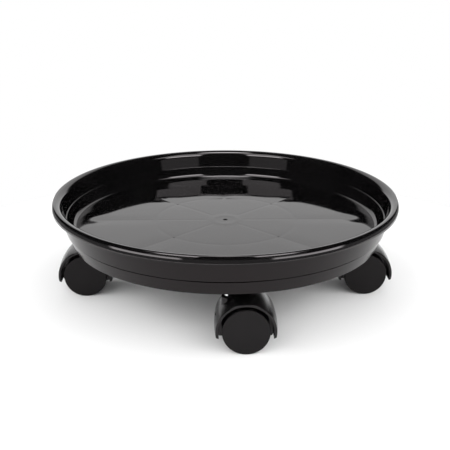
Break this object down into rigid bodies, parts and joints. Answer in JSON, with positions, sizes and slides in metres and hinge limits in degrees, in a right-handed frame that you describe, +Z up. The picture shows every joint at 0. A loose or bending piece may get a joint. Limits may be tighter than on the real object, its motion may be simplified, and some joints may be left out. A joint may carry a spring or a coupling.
{
  "type": "plant pot caddy",
  "caption": "Round lipped plastic plant dish on hooded twin-wheel swivel casters, for standing and rolling a potted plant.",
  "frame": {"origin": "on the ground, under the middle of the round tray", "axes": "+Z up, out of the open dish; -Y is the front; the stems stand on the X and Y axes and every axle lies along Y at rest"},
  "size_m": [0.305, 0.305, 0.0912],
  "materials": {
    "tray_plastic": "gloss black injection-moulded plastic",
    "hood_plastic": "satin black plastic",
    "wheel_plastic": "matt black plastic",
    "stem_steel": "bright plated steel",
    "axle_steel": "turned steel",
    "spring_steel": "spring steel"
  },
  "bodies": {
    "tray": {"tray": "tray_plastic", "front_stem": "stem_steel", "front_grip_ring": "spring_steel", "front_stem_clip": "spring_steel", "right_stem": "stem_steel", "right_grip_ring": "spring_steel", "right_stem_clip": "spring_steel", "rear_stem": "stem_steel", "rear_grip_ring": "spring_steel", "rear_stem_clip": "spring_steel", "left_stem": "stem_steel", "left_grip_ring": "spring_steel", "left_stem_clip": "spring_steel"},
    "front_caster": {"front_hood": "hood_plastic", "front_axle": "axle_steel"},
    "front_roller_1": {"front_wheel_1": "wheel_plastic"},
    "front_roller_2": {"front_wheel_2": "wheel_plastic"},
    "right_caster": {"right_hood": "hood_plastic", "right_axle": "axle_steel"},
    "right_roller_1": {"right_wheel_1": "wheel_plastic"},
    "right_roller_2": {"right_wheel_2": "wheel_plastic"},
    "rear_caster": {"rear_hood": "hood_plastic", "rear_axle": "axle_steel"},
    "rear_roller_1": {"rear_wheel_1": "wheel_plastic"},
    "rear_roller_2": {"rear_wheel_2": "wheel_plastic"},
    "left_caster": {"left_hood": "hood_plastic", "left_axle": "axle_steel"},
    "left_roller_1": {"left_wheel_1": "wheel_plastic"},
    "left_roller_2": {"left_wheel_2": "wheel_plastic"}
  },
  "joints": [
    {"name": "front_swivel", "type": "hinge", "parent": "tray", "child": "front_caster", "pos_m": [0, -0.112, 0.0424], "axis": [0, 0, 1], "continuous": true},
    {"name": "front_roll_1", "type": "hinge", "parent": "front_caster", "child": "front_roller_1", "pos_m": [0.014, -0.112, 0.019], "axis": [0, 1, 0], "continuous": true},
    {"name": "front_roll_2", "type": "hinge", "parent": "front_caster", "child": "front_roller_2", "pos_m": [0.014, -0.112, 0.019], "axis": [0, 1, 0], "continuous": true},
    {"name": "right_swivel", "type": "hinge", "parent": "tray", "child": "right_caster", "pos_m": [0.112, 0, 0.0424], "axis": [0, 0, 1], "continuous": true},
    {"name": "right_roll_1", "type": "hinge", "parent": "right_caster", "child": "right_roller_1", "pos_m": [0.126, 0, 0.019], "axis": [0, 1, 0], "continuous": true},
    {"name": "right_roll_2", "type": "hinge", "parent": "right_caster", "child": "right_roller_2", "pos_m": [0.126, 0, 0.019], "axis": [0, 1, 0], "continuous": true},
    {"name": "rear_swivel", "type": "hinge", "parent": "tray", "child": "rear_caster", "pos_m": [0, 0.112, 0.0424], "axis": [0, 0, 1], "continuous": true},
    {"name": "rear_roll_1", "type": "hinge", "parent": "rear_caster", "child": "rear_roller_1", "pos_m": [-0.014, 0.112, 0.019], "axis": [0, 1, 0], "continuous": true},
    {"name": "rear_roll_2", "type": "hinge", "parent": "rear_caster", "child": "rear_roller_2", "pos_m": [-0.014, 0.112, 0.019], "axis": [0, 1, 0], "continuous": true},
    {"name": "left_swivel", "type": "hinge", "parent": "tray", "child": "left_caster", "pos_m": [-0.112, 0, 0.0424], "axis": [0, 0, 1], "continuous": true},
    {"name": "left_roll_1", "type": "hinge", "parent": "left_caster", "child": "left_roller_1", "pos_m": [-0.126, 0, 0.019], "axis": [0, 1, 0], "continuous": true},
    {"name": "left_roll_2", "type": "hinge", "parent": "left_caster", "child": "left_roller_2", "pos_m": [-0.126, 0, 0.019], "axis": [0, 1, 0], "continuous": true}
  ]
}
